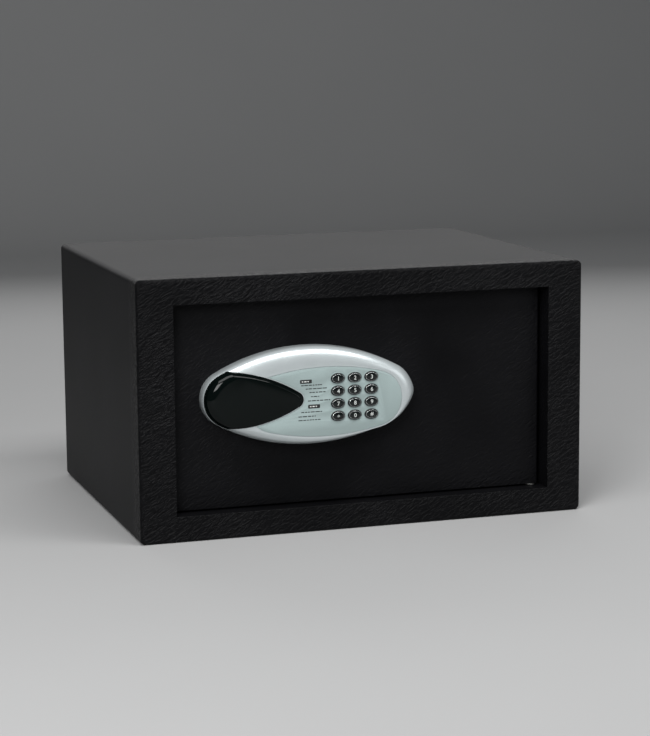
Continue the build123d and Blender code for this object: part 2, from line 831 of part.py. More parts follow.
def gearbox_case():
    back = door_back + gearbox_depth
    case = block(gear_x - gearbox_width / 2, gear_x + gearbox_width / 2, door_back, back,
                 gear_z - gearbox_height / 2, gear_z + gearbox_height / 2)
    case = fillet(case.edges().filter_by(Axis.Y), 3)
    case = fillet(case.faces().sort_by(Axis.Y)[-1].edges(), 1)
    for x, z in gearbox_ear_places():
        toward = 4 if z < gear_z else -4
        ear = rod_y(x, z, door_back, door_back + gearbox_ear, 4)
        case += ear + block(x - 4, x + 4, door_back, door_back + gearbox_ear,
                            min(z, z + toward), max(z, z + toward))
    case += rod_y(gear_x, gear_z, back - 1, back + 1, 5)
    for x, z in gearbox_ear_places():
        case -= rod_y(x, z, door_back - 1, door_back + gearbox_ear + 1, 1.6)
    return case - rod_y(gear_x, gear_z, back - 4, back + 2, shaft_radius + shaft_fit)


def gear_motor():
    left = gear_x + gearbox_width / 2
    can = block(left, left + motor_length, door_back + 1, door_back + 1 + motor_depth,
                gear_z - motor_height / 2, gear_z + motor_height / 2)
    can = fillet(can.edges().filter_by(Axis.X), 4)
    middle_y = door_back + 1 + motor_depth / 2
    return can + rod_x(middle_y, gear_z, left + motor_length, left + motor_length + 3, 4)


def limit_switches():
    # they watch the carriage plate at each end of its travel, from below the lower bolt
    switches = []
    front = door_back + switch_depth
    low = middle - 2 - switch_height / 2
    for x in (bolt_end - bolt_travel - switch_width, bolt_end + carriage_plate + 1):
        case = block(x, x + switch_width, door_back, front, low, low + switch_height)
        lever = block(x + switch_width / 3, x + switch_width * 2 / 3, front,
                      front + switch_lever, middle - 4, middle)
        switches.append(case + lever)
    return switches


# ---- batteries

def battery_tray():
    tray = block(tray_x - tray_half_x, tray_x + tray_half_x, tray_front, tray_back,
                 middle - tray_half_z, middle + tray_half_z)
    return tray - block(tray_x - tray_half_x + tray_wall, tray_x + tray_half_x - tray_wall,
                        tray_front + tray_wall, tray_back + 1,
                        middle - tray_half_z + tray_wall, middle + tray_half_z - tray_wall)


def cell_places():
    for n in range(cell_count):
        yield tray_x + (n - (cell_count - 1) / 2) * cell_pitch


def battery(x):
    half = cell_length / 2
    cell = rod_z(x, cell_y, middle - half, middle + half - 1.2, cell_radius)
    return fillet(cell.edges(), 0.5) + rod_z(x, cell_y, middle + half - 1.3, middle + half, 2.7)


def battery_contact(x, side):
    end = middle + side * (cell_length / 2 + contact_room)
    plate_end = end - side * 0.5
    tip = middle + side * (cell_length / 2 + 0.1)
    plate = block(x - 5.5, x + 5.5, cell_y - 6, cell_y + 5, min(end, plate_end),
                  max(end, plate_end))
    spring = rod_z(x, cell_y, min(tip, plate_end), max(tip, plate_end), 3.4)
    return plate + spring - rod_z(x, cell_y, min(tip, plate_end), max(tip, plate_end), 2.8)


def battery_lid():
    half_x = tray_half_x - tray_wall
    half_z = tray_half_z - tray_wall
    lid = block(tray_x - half_x - lid_lap, tray_x + half_x + lid_lap, cover_back + 0.05,
                cover_back + lid_thickness, middle - half_z - lid_lap, middle + half_z + lid_lap)
    lid = fillet(lid.edges().filter_by(Axis.Y), 3)
    lid = fillet(lid.faces().sort_by(Axis.Y)[-1].edges(), 0.6)
    skirt = block(tray_x - half_x + lid_gap, tray_x + half_x - lid_gap, cover_back - 1.4,
                  cover_back + 0.2, middle - half_z + lid_gap, middle + half_z - lid_gap)
    skirt -= block(tray_x - half_x + lid_gap + 1.2, tray_x + half_x - lid_gap - 1.2,
                   cover_back - 3, cover_back + 0.05, middle - half_z + lid_gap + 1.2,
                   middle + half_z - lid_gap - 1.2)
    lid += skirt
    for n in range(3):
        x = tray_x - half_x + 8 + 3 * n
        lid -= block(x, x + 1.2, cover_back + lid_thickness - 0.5, cover_back + lid_thickness + 1,
                     middle - 9, middle + 9)
    return lid


# ---- cables

def cable(points, radii):
    route = FilletPolyline(*points, radius=radii)
    start = Plane(origin=route @ 0, z_dir=route % 0)
    return sweep(start * Circle(cable_radius), path=route)


def motor_cable():
    z = grommet_z + 2
    start = board_back + 4
    deep = door_back + 7
    end_x = gear_x + gearbox_width / 2 + motor_length + 3
    turn = end_x + 14
    return cable([(grommet_x, start, z), (grommet_x, deep, z), (turn, deep, z + 8),
                  (turn, deep, gear_z), (end_x, deep, gear_z)], [5, 8, 7])


def battery_cable():
    z = grommet_z - 2
    start = board_back + 4
    deep = door_back + 7
    end_x = tray_x - tray_half_x + 12
    return cable([(grommet_x, start, z), (grommet_x, deep, z), (end_x, deep, z - 6),
                  (end_x, tray_front, z - 6)], [5, 4])


def main():
    os.makedirs("parts", exist_ok=True)
    save("body_shell", body_shell())
    save("back_panel", back_panel())
    save("door_frame", door_frame())
    save("door_stop", door_stop())
    save("door_buffers", *door_buffers())
    save("hinge_pins", hinge_pin(), upside_down(hinge_pin()))
    save("hinge_washers", hinge_washer(), upside_down(hinge_washer()))
    save("floor_mat", floor_mat())

    save("door_plate", door_plate())
    save("lower_hinge_bracket", hinge_bracket())
    save("upper_hinge_bracket", upside_down(hinge_bracket()))
    save("bolt_guides", *[bolt_guide(z) for z in bolt_heights])
    save("cover_posts", *[cover_post(x, z) for x, z in post_places()])
    save("mechanism_cover", mechanism_cover())
    save("cover_screws", *[screw(x, z, cover_back, cover_screw_length, cover_screw_radius,
                                 cover_screw_head_radius, cover_screw_head)
                           for x, z in post_places()])
    save("cable_grommet", cable_grommet())

    save("bezel", bezel())
    save("bezel_screws", *[screw(x, z, door_back, panel_screw_length, panel_screw_radius,
                                 panel_screw_head_radius, panel_screw_head)
                           for x, z, _ in panel_screw_places()])
    save("keypad_overlay", keypad_overlay())
    save("display_lens", display_lens())
    save("display_module", display_module())
    for name, x, z in key_places():
        save(f"key_{name}", key(x, z))
    save("keypad_mat", keypad_mat())
    save("main_board", main_board())
    save("board_parts", *board_parts())
    save("buzzer", buzzer())
    save("service_port", service_port())

    save("override_lock_body", override_lock_body())
    save("override_lock_nut", override_lock_nut())
    save("override_plug", override_plug())
    save("override_cam", override_cam())
    save("cam_screw", screw(lock_x, lock_z, lock_back + cam_play + cam_thickness, *cam_screw_sizes))

    save("locking_bolts", *[locking_bolt(z) for z in bolt_heights])
    save("bolt_screws", *[bolt_screw(z) for z in bolt_heights])
    save("bolt_carriage", bolt_carriage())
    save("bolt_rack", bolt_rack())
    save("drive_pinion", drive_pinion())
    save("pinion_shaft", rod_y(gear_x, gear_z, door_back + gearbox_depth - 3, web_front - 0.5,
                               shaft_radius))
    save("gearbox_case", gearbox_case())
    save("gear_motor", gear_motor())
    save("gearbox_screws", *[screw(x, z, door_back + gearbox_ear, *gearbox_screw_sizes)
                             for x, z in gearbox_ear_places()])
    save("limit_switches", *limit_switches())

    save("battery_tray", battery_tray())
    save("batteries", *[battery(x) for x in cell_places()])
    save("battery_contacts", *[battery_contact(x, side) for x in cell_places() for side in (-1, 1)])
    save("battery_lid", battery_lid())
    save("motor_cable", motor_cable())
    save("battery_cable", battery_cable())


main()
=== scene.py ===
import bmesh
import bpy
import json
import math
import random
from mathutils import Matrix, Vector


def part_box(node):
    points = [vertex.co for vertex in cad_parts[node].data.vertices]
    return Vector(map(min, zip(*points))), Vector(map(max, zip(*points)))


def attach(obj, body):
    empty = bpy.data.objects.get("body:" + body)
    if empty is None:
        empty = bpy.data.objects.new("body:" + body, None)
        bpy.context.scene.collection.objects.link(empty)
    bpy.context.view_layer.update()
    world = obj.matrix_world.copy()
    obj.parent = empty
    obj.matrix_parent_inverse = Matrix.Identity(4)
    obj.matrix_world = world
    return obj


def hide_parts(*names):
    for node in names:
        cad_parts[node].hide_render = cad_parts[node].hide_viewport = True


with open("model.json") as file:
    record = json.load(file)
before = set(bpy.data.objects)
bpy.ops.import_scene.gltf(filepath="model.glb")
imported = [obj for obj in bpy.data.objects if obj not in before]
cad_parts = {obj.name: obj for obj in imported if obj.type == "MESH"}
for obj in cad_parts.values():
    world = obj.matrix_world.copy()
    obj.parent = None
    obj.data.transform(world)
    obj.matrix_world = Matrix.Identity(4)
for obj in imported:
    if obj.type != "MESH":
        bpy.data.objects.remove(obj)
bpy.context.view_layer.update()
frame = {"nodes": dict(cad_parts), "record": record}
nodes = frame["nodes"]
mm = 0.001


def clearSelection():
    if bpy.context.mode != "OBJECT":
        bpy.ops.object.mode_set(mode="OBJECT")
    bpy.ops.object.select_all(action="DESELECT")


def activate(piece):
    clearSelection()
    piece.select_set(True)
    bpy.context.view_layer.objects.active = piece


def bake(piece):  # leaves the object at the origin with its place in its mesh
    activate(piece)
    bpy.ops.object.transform_apply(location=True, rotation=True, scale=True)


def weld(piece, distance=0.00001):
    activate(piece)
    bpy.ops.object.mode_set(mode="EDIT")
    bpy.ops.mesh.select_all(action="SELECT")
    bpy.ops.mesh.remove_doubles(threshold=distance)
    bpy.ops.mesh.normals_make_consistent(inside=False)
    bpy.ops.object.mode_set(mode="OBJECT")


def applyAll(piece):
    activate(piece)
    for modifier in list(piece.modifiers):
        bpy.ops.object.modifier_apply(modifier=modifier.name)


def cut(piece, cutter, operation="DIFFERENCE"):
    modifier = piece.modifiers.new("cut", "BOOLEAN")
    modifier.operation = operation
    modifier.solver = "EXACT"
    modifier.object = cutter
    applyAll(piece)
    bpy.data.objects.remove(cutter, do_unlink=True)


def smooth(piece, degrees=32):
    activate(piece)
    bpy.ops.object.shade_smooth_by_angle(angle=math.radians(degrees))


def softenEdges(piece, width, degrees=35, segments=3):
    modifier = piece.modifiers.new("soften", "BEVEL")
    modifier.width = width
    modifier.segments = segments
    modifier.limit_method = "ANGLE"
    modifier.angle_limit = math.radians(degrees)
    applyAll(piece)
    smooth(piece, 40)


def joinPieces(pieces, name):
    clearSelection()
    for piece in pieces:
        piece.select_set(True)
    bpy.context.view_layer.objects.active = pieces[0]
    bpy.ops.object.join()
    pieces[0].name = name
    return pieces[0]


def paint(piece, material):
    piece.data.materials.clear()
    piece.data.materials.append(material)


def finishPiece(piece, body, replaces, material):
    bake(piece)
    paint(piece, material)
    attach(piece, body)
    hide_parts(*replaces)


def startMaterial(name, colour, roughness, metallic=0.0):
    material = bpy.data.materials.new(name)
    material.use_nodes = True
    tree = material.node_tree
    shader = tree.nodes["Principled BSDF"]
    shader.inputs["Base Color"].default_value = (*colour, 1)
    shader.inputs["Roughness"].default_value = roughness
    shader.inputs["Metallic"].default_value = metallic
    return material, tree, shader


def objectPlace(tree, scale=(1, 1, 1)):
    coordinates = tree.nodes.new("ShaderNodeTexCoord")
    mapping = tree.nodes.new("ShaderNodeMapping")
    mapping.inputs["Scale"].default_value = scale
    tree.links.new(coordinates.outputs["Object"], mapping.inputs["Vector"])
    return mapping.outputs["Vector"]


def noise(tree, place, scale, detail=3.0, roughness=0.5, distortion=0.0):
    texture = tree.nodes.new("ShaderNodeTexNoise")
    texture.inputs["Scale"].default_value = scale
    texture.inputs["Detail"].default_value = detail
    texture.inputs["Roughness"].default_value = roughness
    texture.inputs["Distortion"].default_value = distortion
    tree.links.new(place, texture.inputs["Vector"])
    return texture.outputs["Fac"]


def spread(tree, value, fromLow, fromHigh, toLow, toHigh):
    node = tree.nodes.new("ShaderNodeMapRange")
    node.inputs["From Min"].default_value = fromLow
    node.inputs["From Max"].default_value = fromHigh
    node.inputs["To Min"].default_value = toLow
    node.inputs["To Max"].default_value = toHigh
    tree.links.new(value, node.inputs["Value"])
    return node.outputs["Result"]


def sumOf(tree, a, b, operation="ADD"):
    node = tree.nodes.new("ShaderNodeMath")
    node.operation = operation
    for socket, value in zip(node.inputs, (a, b)):
        if isinstance(value, (int, float)):
            socket.default_value = value
        else:
            tree.links.new(value, socket)
    return node.outputs["Value"]


def tint(tree, shader, value, low, high):
    mix = tree.nodes.new("ShaderNodeMix")
    mix.data_type = "RGBA"
    mix.inputs["A"].default_value = (*low, 1)
    mix.inputs["B"].default_value = (*high, 1)
    tree.links.new(value, mix.inputs["Factor"])
    tree.links.new(mix.outputs["Result"], shader.inputs["Base Color"])


def bump(tree, shader, height, depth, strength=1.0):
    node = tree.nodes.new("ShaderNodeBump")
    node.inputs["Strength"].default_value = strength
    node.inputs["Distance"].default_value = depth
    tree.links.new(height, node.inputs["Height"])
    tree.links.new(node.outputs["Normal"], shader.inputs["Normal"])


wrinkle = {
    "colour": (0.0026, 0.0026, 0.0034),
    # painted highlight: the lighter colour given to the ridge tops, standing in for the light they
    # catch
    "ridgeHighlight": (0.0056, 0.0056, 0.0066),
    "creviceShade": 0.35,  # painted shade: how dark the paint is made between ridges, as a share of its colour
    "ridgesPerMetre": 430.0,
    "ridgeLean": -32.0,  # degrees; the ridges climb to the right on the front
    "ridgeStretch": 3.2,
    "ridgeDepthwise": 1.6,  # the same stretch, front to back
    "ridgeDepth": 0.0011,
    "roughness": (0.34, 0.50),
    "specular": 0.09,
    "fadeDepth": 0.030,  # how far behind the front the grain has faded
    "fadedShare": 0.04,  # what is left of the grain there
    "fineShare": 0.14,  # height of the fine grain on top of the ridges
    "patchesPerMetre": 11.0,  # slow changes in depth and shade
}


def leaningPlace(tree, lean, stretch):
    coordinates = tree.nodes.new("ShaderNodeTexCoord")
    mapping = tree.nodes.new("ShaderNodeMapping")
    mapping.vector_type = "TEXTURE"  # turns first and then stretches along the turned axis
    mapping.inputs["Rotation"].default_value = (0, math.radians(lean), 0)
    mapping.inputs["Scale"].default_value = (stretch, wrinkle["ridgeDepthwise"], 1)
    tree.links.new(coordinates.outputs["Object"], mapping.inputs["Vector"])
    return mapping.outputs["Vector"]


def wrinklePaint(name, depthShare, fadesBack=False):
    # diagonal, wandering ridges like grained leather, as a baked wrinkle coat has
    material, tree, shader = startMaterial(name, wrinkle["colour"], 0.48)
    place = objectPlace(tree)
    slanted = leaningPlace(tree, wrinkle["ridgeLean"], wrinkle["ridgeStretch"])
    ridges = noise(tree, slanted, wrinkle["ridgesPerMetre"], 2.0, 0.5, 0.9)
    ridges = spread(tree, ridges, 0.34, 0.64, 0, 1)
    fine = noise(tree, place, wrinkle["ridgesPerMetre"] * 4.0, 3.0, 0.6, 0.3)
    patches = noise(tree, place, wrinkle["patchesPerMetre"], 2.0, 0.5, 0.4)
    height = sumOf(tree, ridges, sumOf(tree, fine, wrinkle["fineShare"], "MULTIPLY"))
    strength = spread(tree, patches, 0.35, 0.65, 0.5, 1.0)
    if fadesBack:
        split = tree.nodes.new("ShaderNodeSeparateXYZ")
        tree.links.new(place, split.inputs["Vector"])
        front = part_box("body_shell")[0].y
        fade = spread(tree, split.outputs["Y"], front + 0.003,
                      front + wrinkle["fadeDepth"], 1.0, wrinkle["fadedShare"])
        strength = sumOf(tree, strength, fade, "MULTIPLY")
    strength = sumOf(tree, strength, depthShare, "MULTIPLY")
    bump(tree, shader, sumOf(tree, height, strength, "MULTIPLY"), wrinkle["ridgeDepth"])
    # painted shade and highlight: the colour darkens in the valleys and lightens towards the ridge
    # tops, and also follows random patches
    valley = sumOf(tree, sumOf(tree, 1.0, ridges, "SUBTRACT"), strength, "MULTIPLY")
    shade = sumOf(tree, 1.0, sumOf(tree, valley, 1 - wrinkle["creviceShade"], "MULTIPLY"), "SUBTRACT")
    light = sumOf(tree, spread(tree, patches, 0.3, 0.7, 0.2, 0.8), shade, "MULTIPLY")
    tint(tree, shader, light, tuple(c * 0.4 for c in wrinkle["colour"]), wrinkle["ridgeHighlight"])
    low, high = wrinkle["roughness"]
    sheen = sumOf(tree, ridges, strength, "MULTIPLY")
    tree.links.new(spread(tree, sheen, 0.0, 0.8, high, low), shader.inputs["Roughness"])
    shader.inputs["Specular IOR Level"].default_value = wrinkle["specular"]
    return material


def satinPaint(name, colour, roughness=0.42):
    material, tree, shader = startMaterial(name, colour, roughness)
    place = objectPlace(tree)
    peel = noise(tree, place, 900.0, 2.0, 0.5, 0.2)
    bump(tree, shader, peel, 0.00003)
    cloud = noise(tree, place, 25.0, 3.0, 0.55, 0.2)
    tree.links.new(spread(tree, cloud, 0.3, 0.7, roughness - 0.06, roughness + 0.08),
                   shader.inputs["Roughness"])
    lighter = tuple(c * 1.35 + 0.001 for c in colour)
    tint(tree, shader, spread(tree, cloud, 0.3, 0.7, 0, 1), colour, lighter)
    return material


def silverLacquer(name, colour, roughness, metallic, flake=0.035):
    material, tree, shader = startMaterial(name, colour, roughness, metallic)
    place = objectPlace(tree)
    speck = noise(tree, place, 5200.0, 1.0, 0.5)
    cloud = noise(tree, place, 60.0, 3.0, 0.5)
    dark = tuple(c * (1 - flake * 2) for c in colour)
    light = tuple(min(1, c * (1 + flake)) for c in colour)
    tint(tree, shader, spread(tree, speck, 0.3, 0.7, 0, 1), dark, light)
    tree.links.new(spread(tree, cloud, 0.3, 0.7, roughness - 0.03, roughness + 0.04),
                   shader.inputs["Roughness"])
    bump(tree, shader, speck, 0.000006, 0.5)
    shader.inputs["Coat Weight"].default_value = 0.35
    shader.inputs["Coat Roughness"].default_value = 0.12
    return material


def glossPlastic(name, colour, roughness=0.06, coat=0.0, waves=0.00002, specular=0.5):
    material, tree, shader = startMaterial(name, colour, roughness)
    place = objectPlace(tree)
    smear = noise(tree, place, 45.0, 4.0, 0.6, 0.5)
    tree.links.new(spread(tree, smear, 0.3, 0.75, roughness * 0.7, roughness * 1.9),
                   shader.inputs["Roughness"])
    bump(tree, shader, noise(tree, place, 70.0, 1.0, 0.4), waves, 0.6)
    shader.inputs["Coat Weight"].default_value = coat
    shader.inputs["Coat Roughness"].default_value = 0.03
    shader.inputs["Specular IOR Level"].default_value = specular
    return material


def mouldedPlastic(name, colour, roughness=0.5):
    material, tree, shader = startMaterial(name, colour, roughness)
    place = objectPlace(tree)
    grain = noise(tree, place, 2600.0, 2.0, 0.6)
    cloud = noise(tree, place, 50.0, 3.0, 0.5)
    bump(tree, shader, grain, 0.000025)
    tree.links.new(spread(tree, cloud, 0.3, 0.7, roughness - 0.07, roughness + 0.08),
                   shader.inputs["Roughness"])
    lighter = tuple(min(1, c * 1.18 + 0.002) for c in colour)
    tint(tree, shader, spread(tree, grain, 0.35, 0.65, 0, 1), colour, lighter)
    return material


def platedSteel(name, colour, roughness=0.3, stretch=(1, 1, 1), iridescent=0.0):
    material, tree, shader = startMaterial(name, colour, roughness, 1.0)
    streaks = noise(tree, objectPlace(tree, scale=stretch), 420.0, 3.0, 0.6)
    cloud = noise(tree, objectPlace(tree), 35.0, 4.0, 0.6, 0.6)
    tree.links.new(spread(tree, streaks, 0.3, 0.7, roughness - 0.08, roughness + 0.12),
                   shader.inputs["Roughness"])
    shade = tuple(c * 0.82 for c in colour)
    warm = (colour[0], colour[1] * (1 - iridescent * 0.4), colour[2] * (1 - iridescent))
    tint(tree, shader, spread(tree, cloud, 0.3, 0.7, 0, 1), shade, warm)
    bump(tree, shader, streaks, 0.000012, 0.7)
    return material


def feltCloth(name, colour):
    material, tree, shader = startMaterial(name, colour, 0.95)
    place = objectPlace(tree)
    fibres = noise(tree, place, 1500.0, 4.0, 0.75, 1.6)
    tufts = noise(tree, place, 220.0, 3.0, 0.6, 0.8)
    height = sumOf(tree, fibres, tufts)
    bump(tree, shader, height, 0.00025)
    lighter = tuple(c * 2.1 for c in colour)
    tint(tree, shader, spread(tree, fibres, 0.35, 0.7, 0, 1), colour, lighter)
    shader.inputs["Sheen Weight"].default_value = 0.35
    shader.inputs["Sheen Roughness"].default_value = 0.5
    return material


def circuitBoard(name, colour):
    material, tree, shader = startMaterial(name, colour, 0.3)
    place = objectPlace(tree)
    tracks = tree.nodes.new("ShaderNodeTexBrick")
    tracks.inputs["Scale"].default_value = 160.0
    tracks.inputs["Mortar Size"].default_value = 0.03
    tree.links.new(place, tracks.inputs["Vector"])
    lighter = tuple(c * 1.7 for c in colour)
    tint(tree, shader, tracks.outputs["Fac"], colour, lighter)
    bump(tree, shader, tracks.outputs["Fac"], 0.00003, 0.5)
    shader.inputs["Coat Weight"].default_value = 0.4
    return material


def dressNodes():
    steel = platedSteel("zincPlate", (0.60, 0.60, 0.57), 0.34, iridescent=0.10)
    turned = platedSteel("turnedSteel", (0.68, 0.68, 0.67), 0.22, stretch=(12, 1, 1))
    screws = platedSteel("screwPlate", (0.55, 0.55, 0.53), 0.28, iridescent=0.05)
    finishes = {
        "black_coat": wrinklePaint("shellWrinkle", 1.0, True),
        "frame_coat": wrinklePaint("frameWrinkle", 0.35),
        "cover_coat": satinPaint("coverPaint", (0.014, 0.014, 0.016), 0.45),
        "zinc_steel": steel,
        "bolt_steel": turned,
        "screw_steel": screws,
        "nylon_white": mouldedPlastic("nylon", (0.78, 0.77, 0.72), 0.45),
        "felt_grey": feltCloth("greyFelt", (0.045, 0.046, 0.050)),
        "rubber_black": mouldedPlastic("blackRubber", (0.018, 0.018, 0.018), 0.72),
        "silver_case": silverLacquer("silverCase", (0.56, 0.61, 0.62), 0.30, 0.45),
        "silver_overlay": silverLacquer("silverFilm", (0.335, 0.415, 0.41), 0.46, 0.15, 0.02),
        "smoked_lens": glossPlastic("smokedAcrylic", (0.0010, 0.0024, 0.0022), 0.05, specular=0.17),
        "key_black": glossPlastic("blackKey", (0.004, 0.006, 0.006), 0.09, specular=0.4),
        "display_black": mouldedPlastic("displayFace", (0.03, 0.004, 0.004), 0.25),
        "board_green": circuitBoard("solderMask", (0.010, 0.085, 0.035)),
        "component_black": mouldedPlastic("componentCase", (0.02, 0.02, 0.02), 0.4),
        "lock_chrome": platedSteel("lockNickel", (0.72, 0.71, 0.68), 0.14),
        "plug_brass": platedSteel("machinedBrass", (0.70, 0.52, 0.24), 0.25),
        "gearbox_plastic": mouldedPlastic("acetal", (0.68, 0.67, 0.61), 0.42),
        "tray_black": mouldedPlastic("trayPlastic", (0.022, 0.022, 0.024), 0.48),
        "battery_wrap": glossPlastic("batteryWrap", (0.05, 0.14, 0.10), 0.22, 0.3),
        "contact_nickel": platedSteel("contactNickel", (0.70, 0.69, 0.65), 0.22),
        "cable_red": mouldedPlastic("redSheath", (0.26, 0.018, 0.016), 0.4),
        "cable_grey": mouldedPlastic("greySheath", (0.16, 0.16, 0.17), 0.4),
    }
    slotOf = {s["node"]: s["material_slot"] for s in frame["record"]["subparts"]}
    doorPaint = wrinklePaint("doorWrinkle", 0.30)
    for name, node in nodes.items():
        node.data.materials.clear()
        node.data.materials.append(doorPaint if name == "door_plate" else finishes[slotOf[name]])
    print("dressed", len(nodes), "parts in", len(finishes), "finishes")
    return finishes


# the outlines below are drawn by spinning a point round one centre after another
bezelLow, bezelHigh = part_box("bezel")
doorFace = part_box("door_plate")[0].y
panelFront = bezelLow.y
panelX = (bezelLow.x + bezelHigh.x) / 2
panelZ = (bezelLow.z + bezelHigh.z) / 2


def startDrawing(name):
    clearSelection()
    bpy.ops.mesh.primitive_circle_add(vertices=3, radius=mm, location=(0, 0, 0))
    piece = bpy.context.object
    piece.name = name
    bpy.ops.object.mode_set(mode="EDIT")
    bpy.ops.mesh.select_all(action="SELECT")
    bpy.ops.mesh.delete(type="VERT")
    return piece


def startPoint(x, y, z):
    bpy.ops.mesh.select_all(action="DESELECT")
    bpy.ops.mesh.primitive_circle_add(vertices=3, radius=0.2 * mm, location=(x, y, z))
    bpy.ops.mesh.merge(type="CENTER")


def spinPoint(x, y, z, angle, steps):  # anticlockwise as the front is faced
    bpy.ops.mesh.spin(steps=steps, angle=math.radians(angle), center=(x, y, z), axis=(0, 1, 0))


def drawTo(dx, dz):
    bpy.ops.mesh.extrude_vertices_move(TRANSFORM_OT_translate={"value": (dx, 0, dz)})


def selectPoints(piece, test):
    bpy.ops.mesh.select_mode(type="VERT")
    bpy.ops.mesh.select_all(action="DESELECT")
    drawing = bmesh.from_edit_mesh(piece.data)
    for point in drawing.verts:
        point.select = test(point.co)
    drawing.select_flush(True)
    bmesh.update_edit_mesh(piece.data)


def drawOval(x, y, z, width, height, endRadius, inset=0.0, steps=(22, 34)):
    # four arcs that run smoothly into each other: a tight one at each end, a long one between
    endX = width / 2 - endRadius
    rise = height / 2 - endRadius
    drop = (endX ** 2 - rise ** 2) / (2 * rise)
    half = math.degrees(math.atan2(endX, drop))
    end = endRadius - inset
    lean = math.radians(half - 90)
    startPoint(x + endX + end * math.cos(lean), y, z + end * math.sin(lean))
    spinPoint(x + endX, y, z, 180 - 2 * half, steps[0])
    spinPoint(x, y, z - drop, 2 * half, steps[1])
    spinPoint(x - endX, y, z, 180 - 2 * half, steps[0])
    spinPoint(x, y, z + drop, 2 * half, steps[1])


def sameLevel(y):
    return lambda co: abs(co.y - y) < 0.01 * mm


def mergeDrawing():
    bpy.ops.mesh.select_all(action="SELECT")
    bpy.ops.mesh.remove_doubles(threshold=0.02 * mm)


def bridgeLevels(piece, levels):
    for low, high in zip(levels, levels[1:]):
        onLow, onHigh = sameLevel(low), sameLevel(high)
        selectPoints(piece, lambda co: onLow(co) or onHigh(co))
        bpy.ops.mesh.bridge_edge_loops()


def fillLevel(piece, y):
    selectPoints(piece, sameLevel(y))
    bpy.ops.mesh.edge_face_add()


def pushBack(depth):  # makes the outline just drawn into a column
    bpy.ops.mesh.select_all(action="SELECT")
    bpy.ops.mesh.edge_face_add()
    bpy.ops.mesh.extrude_region_move(TRANSFORM_OT_translate={"value": (0, depth, 0)})
    bpy.ops.mesh.select_all(action="SELECT")
    bpy.ops.mesh.normals_make_consistent(inside=False)
    bpy.ops.object.mode_set(mode="OBJECT")


def ovalColumn(name, x, z, sizes, front, back, inset=0.0, steps=(22, 34)):
    piece = startDrawing(name)
    drawOval(x, front, z, *sizes, inset=inset, steps=steps)
    mergeDrawing()
    pushBack(back - front)
    return piece


def ellipseColumn(name, x, z, width, height, front, back, corners=64):
    clearSelection()
    bpy.ops.mesh.primitive_circle_add(vertices=corners, radius=0.5, location=(x, front, z),
                                      rotation=(math.pi / 2, 0, 0))
    piece = bpy.context.object
    piece.name = name
    piece.scale = (width, height, 1)
    bake(piece)
    bpy.ops.object.mode_set(mode="EDIT")
    pushBack(back - front)
    return piece


panelShape = {
    "outer": (200 * mm, 90 * mm, 26 * mm),  # width, height, radius round the ends
    "face": (150 * mm, 66 * mm, 27 * mm),
    "faceRight": 13 * mm,
    "faceDrop": 5.25 * mm,
    "side": 11 * mm,  # straight side between the door and the slope
    "slopeRings": 22,
    "tip": 1.8 * mm,  # how far the right end is drawn out to a soft point
    "tipReach": 17 * mm,  # how much of the end follows the point
    "wall": 2.5 * mm,
    "seatDepth": 10 * mm,  # of the lens's pocket
    "seatThickness": 2 * mm,
    "lockHole": 20 * mm,
    "window": (40 * mm, 14 * mm),
    "portHole": 4.15 * mm,  # radius
    "edgeRound": 0.18 * mm,
    "lensRim": 0.9 * mm,
    "overlayInset": 0.8 * mm,
    "overlayThickness": 0.5 * mm,
    "filmSeam": 0.5 * mm,  # the groove round the film
}

lensShape = {  # from the panel's centre: centre x and z of each arc, and the degrees it turns
    "start": (-79 * mm, 26.6 * mm),
    "arcs": ((-88.937, -116.686, -28.42), (-15.416, -1.986, -133.58), (-77.536, 107.966, -29.95)),
    "left": -125 * mm,
    "proud": 1.2 * mm,
    "gap": 0.2 * mm,
    "pivot": (-34 * mm, -10 * mm),  # the flat facet shrinks towards this point
    "facetScale": 0.835,
    "bandRings": 14,
    "bandFoot": 3 * mm,  # how far in front of the panel's shoulder the band starts
    "wall": 2.2 * mm,
    "edgeRound": 0.35 * mm,
}


def growAway(x, z, centreX, centreZ, grow):
    away = Vector((x - centreX, z - centreZ))
    away *= 1 + grow / away.length
    return centreX + away.x, centreZ + away.y


def teardropColumn(name, grow, front, back):
    # two long arcs that meet in a round nose, closed at the left by the panel's own oval
    centreX, centreZ, _ = lensShape["arcs"][0]
    startX, startZ = growAway(*lensShape["start"], centreX * mm, centreZ * mm, grow)
    piece = startDrawing(name)
    startPoint(panelX + lensShape["left"], front, panelZ + startZ)
    drawTo(startX - lensShape["left"], 0)
    for centreX, centreZ, angle in lensShape["arcs"]:
        spinPoint(panelX + centreX * mm, front, panelZ + centreZ * mm, angle, 40)
    drawTo(lensShape["left"] + 80 * mm, 0)
    mergeDrawing()
    pushBack(back - front)
    sizes = panelShape["outer"]
    rim = ovalColumn("rim", panelX, panelZ, sizes, front - mm, back + mm,
                     inset=panelShape["lensRim"] - grow)
    cut(piece, rim, "INTERSECT")
    return piece


def panelLevels(inset=0.0):  # y, centre x, centre z, width, height and end radius of each ring
    shape = panelShape
    shoulder = doorFace - shape["side"] + inset / 2
    rise = shoulder - panelFront - inset
    for ring in range(shape["slopeRings"] + 1):
        turn = ring / shape["slopeRings"] * math.pi / 2
        share = 1 - math.cos(turn)
        sizes = [a + share * (b - a) for a, b in zip(shape["outer"], shape["face"])]
        yield (shoulder - rise * math.sin(turn), panelX + share * shape["faceRight"],
               panelZ - share * shape["faceDrop"], sizes, inset * (1 - share / 2))


